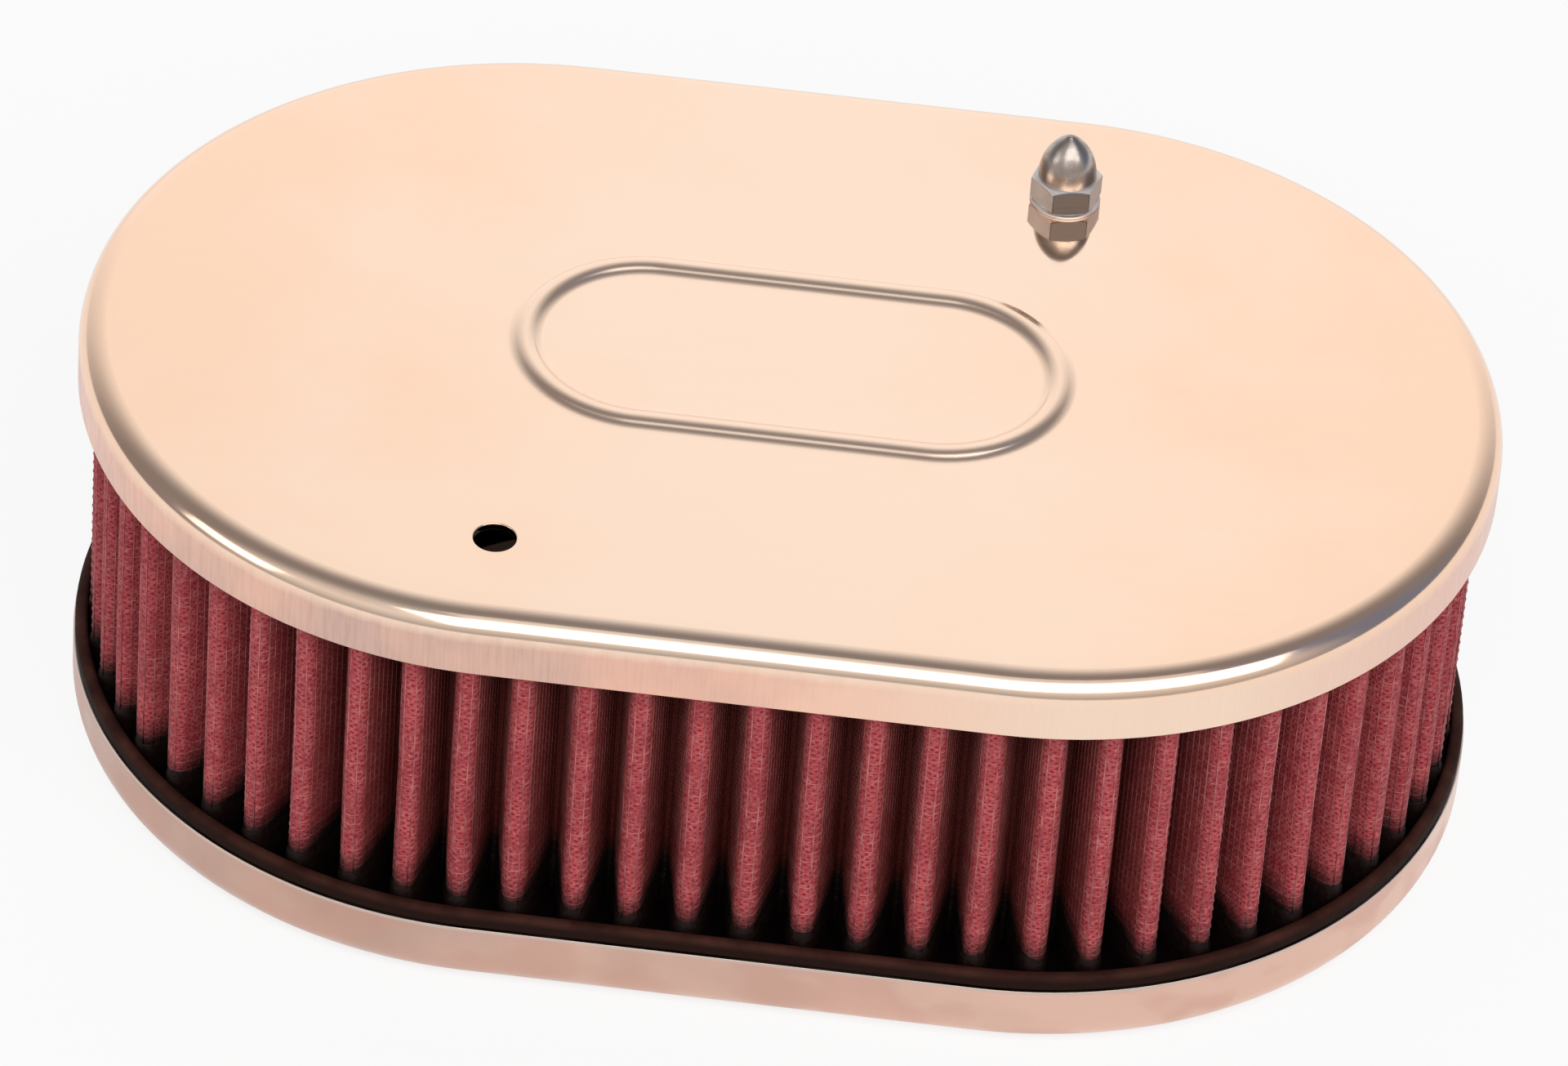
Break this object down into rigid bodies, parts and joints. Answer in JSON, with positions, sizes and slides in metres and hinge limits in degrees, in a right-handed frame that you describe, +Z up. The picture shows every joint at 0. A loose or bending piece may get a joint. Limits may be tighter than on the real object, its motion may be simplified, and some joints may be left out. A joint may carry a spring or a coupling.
{
  "type": "carburetor air cleaner",
  "caption": "Oval carburettor air cleaner: a pleated oiled-gauze element clamped between a polished cover and a collared base pan by a stud and a cap nut.",
  "frame": {"origin": "middle of the base pan's underside, on the surface it stands on", "axes": "+X along the oval to the right, +Y to the rear, +Z up out of the cover"},
  "size_m": [0.1778, 0.1142, 0.0692],
  "materials": {
    "polished_cover": "polished sheet steel with a satin skirt",
    "satin_pan": "satin sheet steel",
    "moulded_urethane": "moulded dark urethane",
    "oiled_gauze": "red oiled cotton gauze",
    "coated_screen": "coated woven wire, fine mesh",
    "zinc_steel": "bright zinc-plated steel",
    "plated_nut": "bright nickel-chrome plate"
  },
  "bodies": {
    "cleaner": {"top_cover": "polished_cover", "base_pan": "satin_pan", "upper_end_ring": "moulded_urethane", "lower_end_ring": "moulded_urethane", "outer_screen": "coated_screen", "gauze_pleats": "oiled_gauze", "inner_screen": "coated_screen", "cover_stud": "zinc_steel", "stud_washer": "zinc_steel", "stud_nut": "zinc_steel"},
    "nut": {"cap_nut": "plated_nut"}
  },
  "joints": [
    {"name": "cap_nut_turn", "type": "hinge", "parent": "cleaner", "child": "nut", "pos_m": [0.0308, 0.0385, 0.0588], "axis": [0, 0, 1], "range_deg": [0, 2700]}
  ]
}
